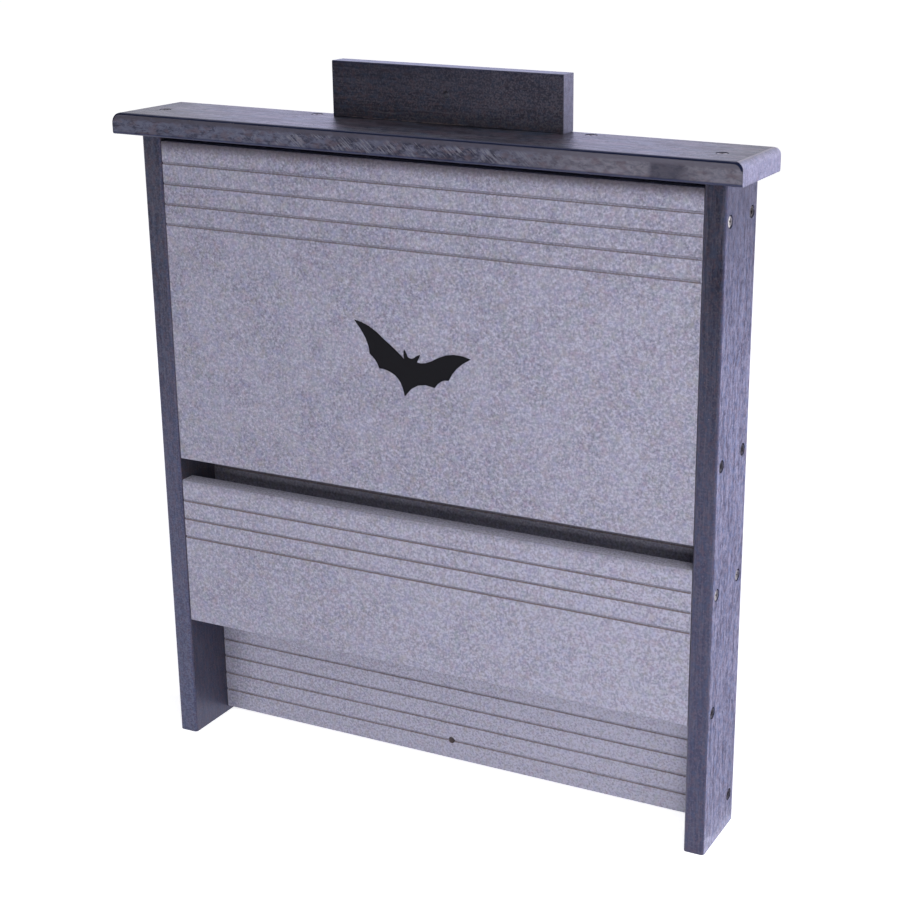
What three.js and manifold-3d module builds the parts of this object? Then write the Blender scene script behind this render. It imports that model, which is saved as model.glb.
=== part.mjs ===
// Bat box: a single-chamber roost screwed together from recycled-plastic boards.
// Millimetres, +Z up, +X to the right and +Y towards the wall it hangs on.
// It stands on the ends of its side boards, with the origin under the middle of its outer box.
import * as THREE from 'three';
import { mergeVertices } from 'three/addons/utils/BufferGeometryUtils.js';
import Module from 'manifold-3d';

const wasm = await Module();
wasm.setup();

// Stock: black boards for the frame, grey grooved sheet for the panels
const boardThick = 19.05;
const boardEase = 3;
const panelThick = 15.9;
const panelEase = 0.8;

// Body
const innerWidth = 513;
const sideDepth = 72.7;
const sideHeight = 584;
const frontSetback = 2;
const panelSideGap = 0.3;
const chamberDepth = 34.1;
const roofSlit = 6;
const upperPanelHeight = 295;
const ventGap = 21.1;
const lowerPanelHeight = 142.7;
const backPanelLift = 5.4;

// Roof
const roofFrontOverhang = 16.2;
const roofSideOverhang = 17.8;
const roofLeftRound = 10;
const roofRightRound = 6.5;
const roofEase = 2;

// Hanging board on the roof
const hangerLength = 221;
const hangerHeight = 48.1;
const hangerShift = 1.2;
const hangerEase = 1;
const hangerHoleRise = 25.2;
const hangerHoleShift = 1.1;
const mountHoleWidth = 6.5;

// Grooves across the panels, which give the bats a grip
const grooveWidth = 2.6;
const grooveFloorWidth = 1.4;
const grooveDepth = 1;
const groovePitch = 18.2;
const upperFirstGroove = 19.3;
const lowerFirstGroove = 20.2;
const backFirstGroove = 19.4;
const upperGrooves = 4;
const lowerGrooves = 3;

// Flat-head wood screws and where they stand from the edges of what they hold
const screwLength = 38;
const screwHeadWidth = 9;
const screwRim = 0.5;
const screwConeDepth = 2.9;
const screwShankWidth = 4.4;
const screwPointLength = 7;
const screwSink = 0.5;
const countersinkWidth = 11;
const slotLength = 4.8;
const slotWidth = 1.1;
const slotDepth = 1.4;
const screwGap = 0.3;
const topScrewDrop = 31.7;
const upperScrewRise = 69.6;
const lowerScrewDrop = 21.8;
const lowerScrewRise = 12.9;
const backScrewRise = 24.4;
const roofBackScrewSpread = 264;
const roofBackScrewShift = 1.9;
const roofSideScrewInset = 20.1;
const roofSideScrewRow = 6.5;
const hangerScrewSpread = 140;

// Bat emblem on the upper front panel
const emblemWidth = 114;
const emblemHeight = 62.7;
const emblemThick = 0.4;
const emblemShift = -5.4;
const emblemRise = 92.6;

// How far a cutting shape runs past the face that it cuts
const overrun = 2;

// Each driver stopped at its own angle, so each screw is turned on from the one before it
const screwTurn = THREE.MathUtils.degToRad(137.5);

const easeSteps = 5;
const endRoundSteps = 8;
const curveSteps = 4;
const roundSides = 16;

// Places that follow from the sizes
const roofTop = sideHeight + boardThick;
const panelFront = frontSetback;
const backFront = panelFront + panelThick + chamberDepth;
const upperBottom = sideHeight - roofSlit - upperPanelHeight;
const lowerTop = upperBottom - ventGap;
const lowerBottom = lowerTop - lowerPanelHeight;
const backPanelHeight = sideHeight - backPanelLift;
const outerWidth = innerWidth + 2 * boardThick;
const panelWidth = innerWidth - 2 * panelSideGap;
const roofLength = outerWidth + 2 * roofSideOverhang;
const roofDepth = roofFrontOverhang + sideDepth;
const hangerFront = sideDepth - boardThick;
const middleY = (sideDepth - roofFrontOverhang) / 2;

const X = new THREE.Vector3(1, 0, 0);
const Y = new THREE.Vector3(0, 1, 0);
const Z = new THREE.Vector3(0, 0, 1);

const blackBoard = new THREE.MeshStandardMaterial({ color: 0x3c3d49, roughness: 0.5, metalness: 0 });
const greyPanel = new THREE.MeshStandardMaterial({ color: 0x9b99a8, roughness: 0.75, metalness: 0 });
const blackFilm = new THREE.MeshStandardMaterial({ color: 0x111417, roughness: 0.45, metalness: 0 });
const screwSteel = new THREE.MeshStandardMaterial({ color: 0x6f7177, roughness: 0.35, metalness: 0.9 });

const batBox = new THREE.Group();
batBox.position.y = -middleY;

// A closed geometry as a solid that can be cut
function solidOf(geometry) {
  const bare = geometry.clone();
  bare.deleteAttribute('normal');
  bare.deleteAttribute('uv');
  const merged = mergeVertices(bare);
  const corners = merged.index.array;
  const kept = [];
  for (let i = 0; i < corners.length; i += 3) {
    const [a, b, c] = corners.slice(i, i + 3);
    if (a !== b && b !== c && c !== a) kept.push(a, b, c);
  }
  const vertProperties = merged.attributes.position.array;
  return new wasm.Manifold(new wasm.Mesh({ numProp: 3, vertProperties, triVerts: Uint32Array.from(kept) }));
}

function geometryOf(solid) {
  const { vertProperties, triVerts } = solid.getMesh();
  const geometry = new THREE.BufferGeometry();
  geometry.setAttribute('position', new THREE.BufferAttribute(vertProperties, 3));
  geometry.setIndex(new THREE.BufferAttribute(triVerts, 1));
  geometry.computeVertexNormals();
  return geometry;
}

// A rectangle from the origin with its four corners rounded
function easedRectangle(width, height, ease) {
  const shape = new THREE.Shape();
  shape.moveTo(ease, 0);
  shape.absarc(width - ease, ease, ease, -Math.PI / 2, 0);
  shape.absarc(width - ease, height - ease, ease, 0, Math.PI / 2);
  shape.absarc(ease, height - ease, ease, Math.PI / 2, Math.PI);
  shape.absarc(ease, ease, ease, Math.PI, Math.PI * 1.5);
  return shape;
}

function extrude(shape, depth, curveSegments) {
  return new THREE.ExtrudeGeometry(shape, { depth, curveSegments, steps: 1, bevelEnabled: false });
}

// A shape drawn in Y and Z, swept along +X
function alongX(shape, length, curveSegments = easeSteps) {
  const frame = new THREE.Matrix4().makeBasis(Y, Z, X);
  return extrude(shape, length, curveSegments).applyMatrix4(frame);
}

// A shape drawn in X and Z, swept along -Y
function towardsFront(shape, length, curveSegments) {
  const frame = new THREE.Matrix4().makeBasis(X, Z, Y.clone().negate());
  return extrude(shape, length, curveSegments).applyMatrix4(frame);
}

// Adds one piece at its place, less the cutting shapes that cross it
function addPiece(name, geometry, at, material, cuts = []) {
  const toPiece = new THREE.Matrix4().makeTranslation(-at.x, -at.y, -at.z);
  let solid = solidOf(geometry);
  for (const cut of cuts) {
    solid = solid.subtract(solidOf(cut.clone().applyMatrix4(toPiece)));
  }
  const piece = new THREE.Mesh(geometryOf(solid), material);
  piece.name = name;
  piece.position.copy(at);
  batBox.add(piece);
}

// Screws

// Head, cone, shank and point, with the top of the head on the origin and the point down -Y
function screwBody() {
  const head = screwHeadWidth / 2;
  const shank = screwShankWidth / 2;
  const profile = [
    new THREE.Vector2(0, -screwLength),
    new THREE.Vector2(shank, screwPointLength - screwLength),
    new THREE.Vector2(shank, -screwRim - screwConeDepth),
    new THREE.Vector2(head, -screwRim),
    new THREE.Vector2(head, 0),
    new THREE.Vector2(0, 0),
  ];
  return new THREE.LatheGeometry(profile, roundSides);
}

// The screw's cross recess is two slots cut in its head
function screwGeometry() {
  const slot = new THREE.BoxGeometry(slotLength, 2 * slotDepth, slotWidth);
  const crossSlot = new THREE.BoxGeometry(slotWidth, 2 * slotDepth, slotLength);
  const body = solidOf(screwBody());
  return geometryOf(body.subtract(solidOf(slot)).subtract(solidOf(crossSlot)));
}

// The countersunk hole that a sunk screw leaves, clear of it all round
function screwHole() {
  const head = screwHeadWidth / 2 + screwGap;
  const shank = screwShankWidth / 2 + screwGap;
  const mouth = countersinkWidth / 2;
  const seat = -screwSink - screwRim - screwGap;
  const profile = [
    new THREE.Vector2(0, -screwSink - screwLength - screwGap),
    new THREE.Vector2(shank, -screwSink - screwLength - screwGap),
    new THREE.Vector2(shank, seat - screwConeDepth),
    new THREE.Vector2(head, seat),
    new THREE.Vector2(mouth, 0),
    new THREE.Vector2(mouth, overrun),
    new THREE.Vector2(0, overrun),
  ];
  return new THREE.LatheGeometry(profile, roundSides);
}

const downShank = Y.clone().negate();

function turnTowards(direction) {
  return new THREE.Quaternion().setFromUnitVectors(downShank, direction);
}

function holeAt(place) {
  const frame = new THREE.Matrix4().makeRotationFromQuaternion(turnTowards(place.into));
  return screwHole().applyMatrix4(frame.setPosition(place.at));
}

// Each place is a point on the face where the screw goes in, and the way it points
function sideScrewPlaces(side, sign) {
  const frontY = panelFront + panelThick / 2;
  const backY = backFront + panelThick / 2;
  const upperPair = [upperBottom + upperScrewRise, sideHeight - topScrewDrop];
  const lowerScrew = lowerTop - lowerScrewDrop;
  const columns = {
    front: { y: frontY, heights: [lowerBottom + lowerScrewRise, lowerScrew, ...upperPair] },
    back: { y: backY, heights: [backPanelLift + backScrewRise, lowerScrew, ...upperPair] },
  };
  return Object.entries(columns).flatMap(([column, { y, heights }]) => heights.map((height, i) => ({
    name: `${side}_${column}_screw_${i + 1}`,
    at: new THREE.Vector3((sign * outerWidth) / 2, y, height),
    into: X.clone().multiplyScalar(-sign),
  })));
}

function roofScrewPlaces(side, sign) {
  const into = Z.clone().negate();
  const backX = roofBackScrewShift + (sign * roofBackScrewSpread) / 2;
  const sideX = sign * (innerWidth / 2 + roofSideScrewRow);
  const backAt = new THREE.Vector3(backX, backFront + panelThick / 2, roofTop);
  const sideAt = new THREE.Vector3(sideX, roofSideScrewInset, roofTop);
  return [
    { name: `roof_back_screw_${side}`, at: backAt, into },
    { name: `roof_side_screw_${side}`, at: sideAt, into },
  ];
}

// These go up through the roof into the hanging board, before the roof is fitted
function hangerScrewPlace(side, sign) {
  const x = hangerShift + (sign * hangerScrewSpread) / 2;
  const at = new THREE.Vector3(x, hangerFront + boardThick / 2, sideHeight);
  return { name: `hanger_screw_${side}`, at, into: Z.clone() };
}

const leftScrews = sideScrewPlaces('left', -1);
const rightScrews = sideScrewPlaces('right', 1);
const roofScrews = [...roofScrewPlaces('left', -1), ...roofScrewPlaces('right', 1)];
const hangerScrews = [hangerScrewPlace('left', -1), hangerScrewPlace('right', 1)];
const sideHoles = [...leftScrews, ...rightScrews].map(holeAt);
const roofHoles = roofScrews.map(holeAt);
const hangerHoles = hangerScrews.map(holeAt);

function addScrews() {
  const geometry = screwGeometry();
  [...leftScrews, ...rightScrews, ...roofScrews, ...hangerScrews].forEach((place, i) => {
    const screw = new THREE.Mesh(geometry, screwSteel);
    screw.name = place.name;
    screw.quaternion.setFromAxisAngle(Y, i * screwTurn).premultiply(turnTowards(place.into));
    screw.position.copy(place.at).addScaledVector(place.into, screwSink);
    batBox.add(screw);
  });
}

// Side boards: plain lengths of board with eased long edges and square ends
function addSideBoards() {
  const board = extrude(easedRectangle(boardThick, sideDepth, boardEase), sideHeight, easeSteps);
  const leftAt = new THREE.Vector3(-outerWidth / 2, 0, 0);
  const rightAt = new THREE.Vector3(innerWidth / 2, 0, 0);
  addPiece('left_side_board', board, leftAt, blackBoard, [...leftScrews.map(holeAt), ...roofHoles]);
  addPiece('right_side_board', board, rightAt, blackBoard, [...rightScrews.map(holeAt), ...roofHoles]);
}

// Front outline of the roof: square below, its two top ends rounded over by hand, the left one more
function roofFrontOutline() {
  const shape = new THREE.Shape();
  shape.moveTo(0, -overrun);
  shape.lineTo(roofLength, -overrun);
  shape.absarc(roofLength - roofRightRound, boardThick - roofRightRound, roofRightRound, 0, Math.PI / 2);
  shape.absarc(roofLeftRound, boardThick - roofLeftRound, roofLeftRound, Math.PI / 2, Math.PI);
  return shape;
}

function addRoof() {
  const at = new THREE.Vector3(-roofLength / 2, -roofFrontOverhang, sideHeight);
  const board = solidOf(alongX(easedRectangle(roofDepth, boardThick, roofEase), roofLength));
  const ends = towardsFront(roofFrontOutline(), roofDepth + 2 * overrun, endRoundSteps);
  ends.translate(0, roofDepth + overrun, 0);
  const roof = geometryOf(board.intersect(solidOf(ends)));
  addPiece('roof_board', roof, at, blackBoard, [...roofHoles, ...hangerHoles]);
}

// A round hole through a board from front to back
function mountHoleAt(x, z, front, thick) {
  const length = thick + 2 * overrun;
  const hole = new THREE.CylinderGeometry(mountHoleWidth / 2, mountHoleWidth / 2, length, roundSides);
  return hole.translate(x, front + thick / 2, z);
}

function addHangingBoard() {
  const at = new THREE.Vector3(hangerShift - hangerLength / 2, hangerFront, roofTop);
  const board = alongX(easedRectangle(boardThick, hangerHeight, hangerEase), hangerLength);
  const holeX = hangerShift + hangerHoleShift;
  const hole = mountHoleAt(holeX, roofTop + hangerHoleRise, hangerFront, boardThick);
  addPiece('hanging_board', board, at, blackBoard, [hole, ...hangerHoles]);
}

// Panels

// Cross-section of a panel, its front face on Y = 0 with a flat-floored groove at each height
function groovedOutline(height, grooveHeights) {
  const shape = new THREE.Shape();
  shape.moveTo(panelEase, 0);
  shape.lineTo(panelThick - panelEase, 0);
  shape.lineTo(panelThick, panelEase);
  shape.lineTo(panelThick, height - panelEase);
  shape.lineTo(panelThick - panelEase, height);
  shape.lineTo(panelEase, height);
  shape.lineTo(0, height - panelEase);
  for (const z of grooveHeights) {
    shape.lineTo(0, z + grooveWidth / 2);
    shape.lineTo(grooveDepth, z + grooveFloorWidth / 2);
    shape.lineTo(grooveDepth, z - grooveFloorWidth / 2);
    shape.lineTo(0, z - grooveWidth / 2);
  }
  shape.lineTo(0, panelEase);
  return shape;
}

// Heights of a run of grooves, the highest first
function groovesBelow(firstHeight, count) {
  return Array.from({ length: count }, (_, i) => firstHeight - i * groovePitch);
}

function addPanel(name, height, front, bottom, grooveHeights, cuts) {
  const at = new THREE.Vector3(-panelWidth / 2, front, bottom);
  addPiece(name, alongX(groovedOutline(height, grooveHeights), panelWidth), at, greyPanel, cuts);
}

function addPanels() {
  const upper = groovesBelow(upperPanelHeight - upperFirstGroove, upperGrooves);
  const lower = groovesBelow(lowerPanelHeight - lowerFirstGroove, lowerGrooves);
  const backRun = backPanelHeight - 2 * backFirstGroove;
  const backSpaces = Math.floor(backRun / groovePitch);
  const back = groovesBelow(backFirstGroove + backSpaces * groovePitch, backSpaces + 1);
  const backHoles = [
    mountHoleAt(0, backPanelLift + backFirstGroove, backFront, panelThick),
    ...sideHoles,
    ...roofHoles,
  ];
  addPanel('upper_front_panel', upperPanelHeight, panelFront, upperBottom, upper, sideHoles);
  addPanel('lower_front_panel', lowerPanelHeight, panelFront, lowerBottom, lower, sideHoles);
  addPanel('back_panel', backPanelHeight, backFront, backPanelLift, back, backHoles);
}

// Bat emblem

// Each row is one curve of the outline: it bends towards its first point and ends at its second.
// The points are shares of the emblem's width and height, from its lower left corner.
const emblemStartShares = [0, 1];
const emblemCurveShares = [
  // Left wing's leading edge, then the left ear, head and right ear
  [0.13, 0.98, 0.26, 0.77],
  [0.38, 0.62, 0.43, 0.53],
  [0.42, 0.6, 0.43, 0.67],
  [0.45, 0.62, 0.46, 0.57],
  [0.49, 0.53, 0.52, 0.57],
  [0.54, 0.61, 0.57, 0.62],
  [0.56, 0.57, 0.54, 0.51],
  // Right wing's leading edge
  [0.6, 0.47, 0.72, 0.61],
  [0.85, 0.74, 1, 0.65],
  // Right wing's scalloped trailing edge
  [0.86, 0.52, 0.81, 0.31],
  [0.74, 0.32, 0.69, 0.18],
  [0.53, 0.27, 0.43, 0],
  // Tail and the left wing's scalloped trailing edge
  [0.41, 0.2, 0.35, 0.28],
  [0.28, 0.36, 0.21, 0.35],
  [0.19, 0.47, 0.13, 0.54],
  [0.13, 0.74, 0, 1],
];

function emblemOutline() {
  const shape = new THREE.Shape();
  shape.moveTo(emblemStartShares[0] * emblemWidth, emblemStartShares[1] * emblemHeight);
  for (const [bendX, bendZ, endX, endZ] of emblemCurveShares) {
    shape.quadraticCurveTo(
      bendX * emblemWidth,
      bendZ * emblemHeight,
      endX * emblemWidth,
      endZ * emblemHeight,
    );
  }
  return shape;
}

function addEmblem() {
  const at = new THREE.Vector3(emblemShift - emblemWidth / 2, panelFront, upperBottom + emblemRise);
  addPiece('bat_emblem', towardsFront(emblemOutline(), emblemThick, curveSteps), at, blackFilm);
}

addSideBoards();
addRoof();
addHangingBoard();
addPanels();
addEmblem();
addScrews();

export default batBox;
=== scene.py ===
"""The looks of a bat box: recycled plastic boards and panels, a film emblem, steel screws and a studio."""

import math

import bpy
from mathutils import Matrix, Vector


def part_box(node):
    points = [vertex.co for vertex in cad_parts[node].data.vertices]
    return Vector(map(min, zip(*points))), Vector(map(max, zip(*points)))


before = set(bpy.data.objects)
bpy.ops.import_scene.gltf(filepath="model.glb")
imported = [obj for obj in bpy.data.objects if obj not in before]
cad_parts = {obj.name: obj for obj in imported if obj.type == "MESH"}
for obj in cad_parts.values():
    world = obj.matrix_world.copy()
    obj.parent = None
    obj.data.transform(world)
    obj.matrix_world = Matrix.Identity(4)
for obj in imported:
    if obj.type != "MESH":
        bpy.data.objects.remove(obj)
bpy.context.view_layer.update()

MM = 0.001

# The camera stands right of the box and above it, and its frame is shifted a little to the left.
EYE = Vector((0.7324, -1.2939, 0.8083))
LOOK_AT = Vector((0.1514, -0.0004, 0.3433))
ROLL_DEGREES = 0.721
SENSOR_WIDTH = 36
LENS = 70.57
SHIFT_X = -0.1563

# Linear colours of the finishes
CHARCOAL = (0.016, 0.015, 0.019)
CHARCOAL_STREAK = (0.088, 0.083, 0.097)
CHARCOAL_WEAR = (0.085, 0.080, 0.095)
CHARCOAL_BROWN = (0.076, 0.046, 0.043)
CHARCOAL_BLUE = (0.026, 0.045, 0.076)
CHARCOAL_FLECK = (0.24, 0.19, 0.15)
# Painted shade, for the countersinks and towards the tops of the right side board and the hanging board
CHARCOAL_PAINTED_SHADE = (0.006, 0.007, 0.011)
# A painted bluish sheen
CHARCOAL_PAINTED_SHEEN = (0.095, 0.108, 0.165)
CHARCOAL_NAVY = (0.004, 0.008, 0.026)
CHARCOAL_GLOSS = (0.48, 0.49, 1.0)
CREAM = (0.26, 0.20, 0.19)
PALE_DARK = (0.030, 0.028, 0.050)
PALE_LIGHT = (0.245, 0.235, 0.315)
PALE_BROWN = (0.170, 0.118, 0.145)
PALE_BLUE = (0.085, 0.118, 0.215)
# A painted highlight
RIM_HIGHLIGHT = (0.42, 0.37, 0.44)
PALE_SHADE = (0.030, 0.028, 0.045)
TOP_DARK = (0.010, 0.009, 0.014)
TOP_LIGHT = (0.150, 0.140, 0.180)
TOP_PINK = (0.140, 0.100, 0.130)
TOP_SKY = (0.070, 0.100, 0.165)
SAWN_DARK = (0.021, 0.020, 0.027)
SAWN_BROWN = (0.060, 0.054, 0.062)
SAWN_SLATE = (0.082, 0.086, 0.118)
SAWN_WARM = (0.100, 0.072, 0.075)
# A painted sheen
SAWN_PAINTED_SHEEN = (0.125, 0.132, 0.185)
SAWN_DUST = (0.190, 0.178, 0.200)
SAWN_STROKE = (0.180, 0.178, 0.208)
PANEL_GLOSS = (0.66, 0.66, 1.0)
PANEL_BASE = (0.285, 0.276, 0.352)
PANEL_DARK = (0.155, 0.151, 0.203)
PANEL_LIGHT = (0.465, 0.455, 0.575)
PANEL_PINK = (0.345, 0.245, 0.335)
PANEL_GREEN = (0.235, 0.300, 0.310)
PANEL_BLUE = (0.250, 0.260, 0.440)
PANEL_TAN = (0.320, 0.285, 0.250)
PANEL_CUT_SHADE = (0.085, 0.080, 0.095)
PANEL_CUT_WARM = (0.210, 0.140, 0.105)
PANEL_SEAM = (0.070, 0.040, 0.032)
# Painted shade under the eave and above the vent
PANEL_PAINTED_SHADE = (0.050, 0.036, 0.036)
# Painted light on a top edge
PANEL_TOP_LIGHT = (0.88, 0.86, 1.0)
FILM_BLACK = (0.0105, 0.0103, 0.0128)
FILM_DUST = (0.020, 0.022, 0.026)
STEEL_LIGHT = (0.42, 0.38, 0.41)
STEEL_DARK = (0.20, 0.18, 0.20)
STEEL_STAIN = (0.050, 0.044, 0.055)
# A painted glint
STEEL_GLINT = (0.92, 0.86, 0.80)

# A board's noises: scale across and along the board, an offset that sets it apart, detail and roughness
BOARD_NOISES = {
    "broad": (70, 9, 0, 3, 0.6),
    "wide": (230, 22, 0, 3, 0.6),
    "streaks": (620, 30, 0, 4, 0.7),
    "fine": (1500, 90, 0, 2, 0.6),
    "browns": (270, 190, 0, 3, 0.65),
    "blues": (250, 170, 5, 3, 0.65),
    "dashes": (170, 150, 3, 4, 0.75),
    "patches": (60, 14, 9, 3, 0.6),
    "mottle": (240, 150, 11, 3, 0.65),
    "casts": (80, 45, 13, 3, 0.6),
}
BOARD_SHIFT = 7
GRIT_SCALE = 620
FLECK_SCALE = 260
FLECK_SIZE = (0.15, 0.07)
FLECK_PLACES = (0.50, 0.62)
FLECK_SHARE = 0.45

# The noises of the roof's sawn front: how each is drawn out, and its other settings
STROKE_TILT = math.radians(48)
SAWN_NOISES = {
    "strokes": {"scale": (1000, 10, 80), "turn": (0, STROKE_TILT, 0), "detail": 3, "roughness": 0.65},
    "loose": {"scale": (55, 1, 90), "detail": 3, "distortion": 0.8},
    "dapple": {"scale": (150, 1, 300), "detail": 4, "roughness": 0.7, "distortion": 0.6},
    "clouds": {"scale": (45, 1, 130), "detail": 2, "distortion": 0.4},
    "casts": {"scale": (90, 1, 170), "shift": (4, 4, 4), "detail": 2},
}

# Layers of colour. Each row is a noise, the levels where its tint starts and is full, its share, and the
# tint itself.
CHARCOAL_LAYERS = (
    ("streaks", 0.42, 0.74, 1.0, CHARCOAL_STREAK),
    ("wide", 0.48, 0.76, 0.40, CHARCOAL_STREAK),
    ("broad", 0.45, 0.75, 0.30, CHARCOAL_STREAK),
    ("grit", 0.50, 0.66, 0.65, CHARCOAL_STREAK),
    ("grit", 0.50, 0.34, 0.45, CHARCOAL),
    ("browns", 0.47, 0.64, 0.55, CHARCOAL_BROWN),
    ("blues", 0.47, 0.64, 0.50, CHARCOAL_BLUE),
)
PALE_LAYERS = (
    ("streaks", 0.50, 0.62, 0.80, PALE_LIGHT),
    ("streaks", 0.50, 0.38, 0.80, PALE_DARK),
    ("grit", 0.50, 0.62, 0.80, PALE_LIGHT),
    ("grit", 0.50, 0.38, 0.80, PALE_DARK),
    ("mottle", 0.50, 0.62, 0.80, PALE_LIGHT),
    ("mottle", 0.50, 0.38, 0.80, PALE_DARK),
    ("browns", 0.48, 0.66, 0.65, PALE_BROWN),
    ("blues", 0.48, 0.66, 0.80, PALE_BLUE),
)
TOP_LAYERS = (
    ("dashes", 0.42, 0.58, 1.0, TOP_LIGHT),
    ("wide", 0.50, 0.62, 0.60, TOP_LIGHT),
    ("casts", 0.50, 0.64, 0.75, TOP_PINK),
    ("casts", 0.50, 0.36, 0.65, TOP_SKY),
    ("patches", 0.46, 0.58, 0.70, TOP_DARK),
)
SAWN_LAYERS = (
    ("dapple", 0.39, 0.61, 1.0, SAWN_SLATE),
    ("clouds", 0.50, 0.62, 0.75, SAWN_SLATE),
    ("clouds", 0.48, 0.38, 0.70, SAWN_DARK),
)
SAWN_CAST_LAYERS = (
    ("casts", 0.50, 0.64, 0.50, SAWN_WARM),
)
SAWN_BAND_LAYERS = (
    ("dapple", 0.35, 0.70, 0.40, SAWN_SLATE),
)
PANEL_LAYERS = (
    ("tone", 0.48, 0.72, 1.0, PANEL_LIGHT),
    ("tone", 0.52, 0.28, 1.0, PANEL_DARK),
    ("warmth", 0.50, 0.75, 0.40, PANEL_PINK),
    ("warmth", 0.50, 0.25, 0.40, PANEL_GREEN),
    ("tints", 0.50, 0.75, 0.44, PANEL_BLUE),
    ("tints", 0.50, 0.25, 0.44, PANEL_TAN),
    ("clouds", 0.35, 0.65, 0.15, PANEL_LIGHT),
)
FILM_LAYERS = (
    ("dust", 0.62, 0.78, 0.60, FILM_DUST),
)
STEEL_LAYERS = (
    ("rings", 0.30, 0.70, 1.0, STEEL_LIGHT),
    ("spots", 0.46, 0.66, 0.60, STEEL_STAIN),
)

# Slopes, each as one part of a surface's direction: where a finish starts on it, and where it is full
UPWARD = (0.80, 0.97)
LEVEL = (0.90, 0.97)
NOT_LEVEL = (0.97, 0.90)
SIDE_FRONT = (0.5, 0.9)
HANGER_FRONT = (0.2, 0.4)
SAWN_FRONT = (0.75, 0.95)
NOT_BACK = (0.9, 0.5)
CUT_WALL = (0.97, 0.90)
CUT_LOWER_WALL = (-0.2, 0.2)
EAVE_UPRIGHT = (0.9, 0.6)
HOLE_WALL = (0.95, 0.80)
HOLE_SIDE_WALL = (0.15, 0.45)
RIM_START = (0.02, 0.06)
RIM_END = (0.42, 0.30)

# How each board differs: the axis of its length, how pale its ends or outer face are, and from what slopes
BOARD_LOOKS = {
    "left_side_board": {"along": "z", "outward": -1, "paleness": 1.3, "pale_slopes": (0.80, 0.98)},
    "right_side_board": {"along": "z", "outward": 1, "paleness": 1.3, "pale_slopes": (0.80, 0.98)},
    "roof_board": {"along": "x", "paleness": 1.7, "pale_slopes": (0.04, 0.14), "is_roof": True},
    "hanging_board": {"along": "x", "paleness": 0.85, "pale_slopes": (0.60, 0.90), "is_hanger": True},
}
PALE_STREAKS = (0.34, 0.66)
PALE_REACH = 10.5 * MM
PALE_REACH_BLEND = 1 * MM
# The share of the painted highlight along the roof's rim
RIM_HIGHLIGHT_SHARE = 0.7
SIDE_MOTTLING = 0.6
END_MOTTLING = 0.25
BOARD_WEAR = 1.6 * MM
BOARD_WEAR_SHARE = 0.20
BOARD_RAGGED = {"low": 0.2, "high": 0.8, "start": 0.3, "end": 1.7}
BOARD_RELIEF = {"streaks": 0.7, "fine": 0.35, "grit": 0.25}
ROOF_TOP_RELIEF = {"dashes": 1.0, "patches": 1.5}
BOARD_BUMP = 0.35 * MM
BOARD_ROUGHNESS = {"low": 0.25, "high": 0.75, "start": 0.28, "end": 0.46}
BOARD_SPECULAR = 1.0
ROOF_SPECULAR = 0.75

# The side boards: painted shade under the roof on the outer faces and towards the top of the right one's
# other faces, and a painted bluish sheen low on the left one's front
UNDER_ROOF_SHADE_TOP = 584 * MM
UNDER_ROOF_SHADE_BOTTOM = 400 * MM
UNDER_ROOF_SHADE_SHARE = 0.6
RIGHT_SHADE_BOTTOM = 250 * MM
RIGHT_SHADE_SHARES = (0.08, 0.30)
SHEEN_HEIGHT = 300 * MM
SHEEN_SHARES = (0.12, 0.36)
SHEEN_GRIT = {"low": 0.42, "high": 0.60, "start": 0.2, "end": 1.8}

# The roof's front: a smooth band at the top, strokes of the saw, a painted sheen at the left, and dust and
# a smudge at the right, with a navy line of painted dark reflection along its top and round both ends, and
# one of painted shade along its foot
BAND_BOTTOM = 597.5 * MM
BAND_BLEND = 1.6 * MM
BAND_DUST_SHARE = 0.30
BROW_BACK = -40.0 * MM
BROW_FRONT = -41.5 * MM
BROW_ROUND = 8 * MM
BROW_WIDTH = 2.2 * MM
BROW_BLEND = 0.8 * MM
BROW_RISE = 2 * MM
LIP_TOP = 587.0 * MM
LIP_BOTTOM = 585.4 * MM
LIP_SHARE = 0.85
SAWN_SHEEN_START = -40 * MM
SAWN_SHEEN_FULL = -130 * MM
SAWN_SHEEN_DAPPLE = {"low": 0.38, "high": 0.60, "start": 0.12, "end": 0.58}
STROKES_START = -215 * MM
STROKES_FULL = -90 * MM
STROKES_FADE = 60 * MM
STROKES_END = 170 * MM
STROKE_LEVELS = (0.48, 0.58)
STROKE_CLUSTERS = {"low": 0.42, "high": 0.58, "start": 0.10, "end": 0.80}
DUST_START = 60 * MM
DUST_END = 190 * MM
DUST_DAPPLE = {"low": 0.30, "high": 0.65, "start": 0.40, "end": 0.80}
SMUDGE_LEFT = 220 * MM
SMUDGE_RIGHT = 238 * MM
SMUDGE_BLEND = 6 * MM
SMUDGE_FADE = 20 * MM
SMUDGE_SHARE = 0.65

# The hanging board's front: painted shade towards its top, dust towards its right, a dark line along its
# top and left edges, and a broken cream line of painted highlight along its foot
HANGER_TOP_SHADE_SHARE = 0.46
HANGER_DUST_SHARES = (0.08, 0.46)
HANGER_DUST_GRIT = {"low": 0.44, "high": 0.62, "start": 0.25, "end": 1.55}
HANGER_EDGE = 1.3 * MM
HANGER_EDGE_BLEND = 1 * MM
HANGER_EDGE_SHARE = 0.8
FOOT_HIGHLIGHT_TOP = 604.4 * MM
FOOT_HIGHLIGHT_LEFT = -94 * MM
FOOT_HIGHLIGHT_RIGHT = 18 * MM
FOOT_HIGHLIGHT_FADE = 0.4 * MM
FOOT_HIGHLIGHT_END_FADE = 1 * MM
FOOT_HIGHLIGHT_SCALE = (110, 1, 700)
FOOT_HIGHLIGHT_BITS = (0.46, 0.58)
FOOT_HIGHLIGHT_SHARE = 0.5

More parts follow.
